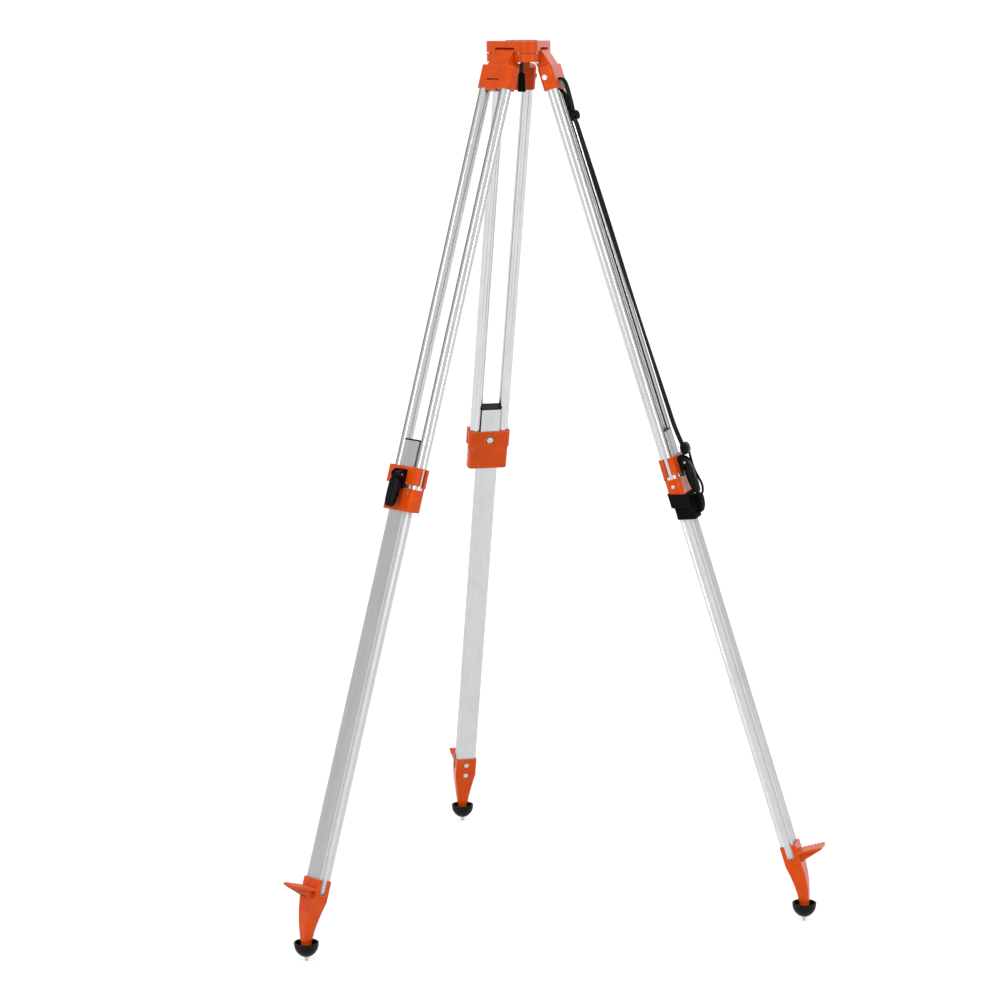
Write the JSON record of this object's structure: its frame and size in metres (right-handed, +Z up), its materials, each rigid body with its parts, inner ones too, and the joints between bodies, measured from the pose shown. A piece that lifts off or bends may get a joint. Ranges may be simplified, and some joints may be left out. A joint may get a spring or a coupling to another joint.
{
  "type": "surveyor tripod",
  "caption": "Extending three-leg surveying tripod: flat-topped triangular head, sliding legs with lever clamps, step plates, pointed feet with rubber boots, carrying strap.",
  "frame": {"origin": "on the ground, plumb under the fixing screw, with the tripod standing open on level ground", "axes": "+Z up, +Y towards the rear leg's foot"},
  "size_m": [1.0372, 0.8984, 1.6515],
  "materials": {
    "orange_paint": "glossy powder coat over cast aluminium",
    "bright_aluminium": "bright drawn tube",
    "satin_aluminium": "satin anodised extrusion",
    "steel": "zinc-plated",
    "brass": "plain machined",
    "black_plastic": "moulded, lightly textured",
    "rubber": "matt moulded",
    "webbing": "woven polypropylene"
  },
  "bodies": {
    "head": {"head_top": "orange_paint", "head_lower": "orange_paint", "head_screws": "steel", "hinge_pins": "steel", "arm_pivot": "steel"},
    "centring_arm": {"centring_arm": "satin_aluminium"},
    "screw_cage": {"screw_cage": "steel"},
    "screw_lift": {"thrust_washer": "brass"},
    "fixing_screw": {"fixing_screw": "steel", "screw_grip": "black_plastic", "plumb_hook": "steel"},
    "rear_upper_leg": {"rear_bracket": "orange_paint", "rear_upper_tubes": "bright_aluminium", "rear_leg_screws": "steel", "rear_clamp_body": "orange_paint", "rear_clamp_plate": "orange_paint", "rear_clamp_pad": "brass", "rear_lever_base": "black_plastic", "rear_lever_pin": "steel"},
    "rear_lower_leg": {"rear_inner_leg": "satin_aluminium", "rear_inner_cap": "black_plastic", "rear_foot": "orange_paint", "rear_foot_screws": "steel", "rear_spike": "steel", "rear_boot": "rubber"},
    "rear_lever": {"rear_lever": "black_plastic"},
    "left_upper_leg": {"left_bracket": "orange_paint", "left_upper_tubes": "bright_aluminium", "left_leg_screws": "steel", "left_clamp_body": "orange_paint", "left_clamp_plate": "orange_paint", "left_clamp_pad": "brass", "left_lever_base": "black_plastic", "left_lever_pin": "steel"},
    "left_lower_leg": {"left_inner_leg": "satin_aluminium", "left_inner_cap": "black_plastic", "left_foot": "orange_paint", "left_foot_screws": "steel", "left_spike": "steel", "left_boot": "rubber"},
    "left_lever": {"left_lever": "black_plastic"},
    "right_upper_leg": {"right_bracket": "orange_paint", "right_upper_tubes": "bright_aluminium", "right_leg_screws": "steel", "right_clamp_body": "orange_paint", "right_clamp_plate": "orange_paint", "right_clamp_pad": "brass", "right_lever_base": "black_plastic", "right_lever_pin": "steel", "carry_strap": "webbing", "strap_slider": "black_plastic", "strap_buckle": "black_plastic", "binding_strap": "webbing"},
    "right_lower_leg": {"right_inner_leg": "satin_aluminium", "right_inner_cap": "black_plastic", "right_foot": "orange_paint", "right_foot_screws": "steel", "right_spike": "steel", "right_boot": "rubber"},
    "right_lever": {"right_lever": "black_plastic"}
  },
  "joints": [
    {"name": "arm_swing", "type": "hinge", "parent": "head", "child": "centring_arm", "pos_m": [-0.0381, 0.022, 1.641], "axis": [0, 0, 1], "range_deg": [-4.5, 4.5]},
    {"name": "cage_slide", "type": "slide", "parent": "centring_arm", "child": "screw_cage", "axis": [-0.866, 0.5, 0], "range_m": [-0.004, 0.004]},
    {"name": "screw_lift", "type": "slide", "parent": "screw_cage", "child": "screw_lift", "axis": [0, 0, 1], "range_m": [0, 0.0105]},
    {"name": "screw_turn", "type": "hinge", "parent": "screw_lift", "child": "fixing_screw", "pos_m": [0, 0, 1.6], "axis": [0, 0, 1], "continuous": true},
    {"name": "rear_leg_fold", "type": "hinge", "parent": "head", "child": "rear_upper_leg", "pos_m": [0, 0.033, 1.6285], "axis": [1, 0, 0], "range_deg": [-17.8, 12]},
    {"name": "rear_leg_extend", "type": "slide", "parent": "rear_upper_leg", "child": "rear_lower_leg", "axis": [0, 0.3057, -0.9521], "range_m": [-0.64, 0]},
    {"name": "rear_clamp_lever", "type": "hinge", "parent": "rear_upper_leg", "child": "rear_lever", "pos_m": [0, 0.31681, 0.87226], "axis": [1, 0, 0], "range_deg": [0, 105]},
    {"name": "left_leg_fold", "type": "hinge", "parent": "head", "child": "left_upper_leg", "pos_m": [-0.02858, -0.0165, 1.6285], "axis": [-0.5, 0.866, 0], "range_deg": [-17.8, 12]},
    {"name": "left_leg_extend", "type": "slide", "parent": "left_upper_leg", "child": "left_lower_leg", "axis": [-0.2647, -0.1528, -0.9521], "range_m": [-0.64, 0]},
    {"name": "left_clamp_lever", "type": "hinge", "parent": "left_upper_leg", "child": "left_lever", "pos_m": [-0.27437, -0.1584, 0.87226], "axis": [-0.5, 0.866, 0], "range_deg": [0, 105]},
    {"name": "right_leg_fold", "type": "hinge", "parent": "head", "child": "right_upper_leg", "pos_m": [0.02858, -0.0165, 1.6285], "axis": [-0.5, -0.866, 0], "range_deg": [-17.8, 12]},
    {"name": "right_leg_extend", "type": "slide", "parent": "right_upper_leg", "child": "right_lower_leg", "axis": [0.2647, -0.1528, -0.9521], "range_m": [-0.64, 0]},
    {"name": "right_clamp_lever", "type": "hinge", "parent": "right_upper_leg", "child": "right_lever", "pos_m": [0.27437, -0.1584, 0.87226], "axis": [-0.5, -0.866, 0], "range_deg": [0, 105]}
  ]
}
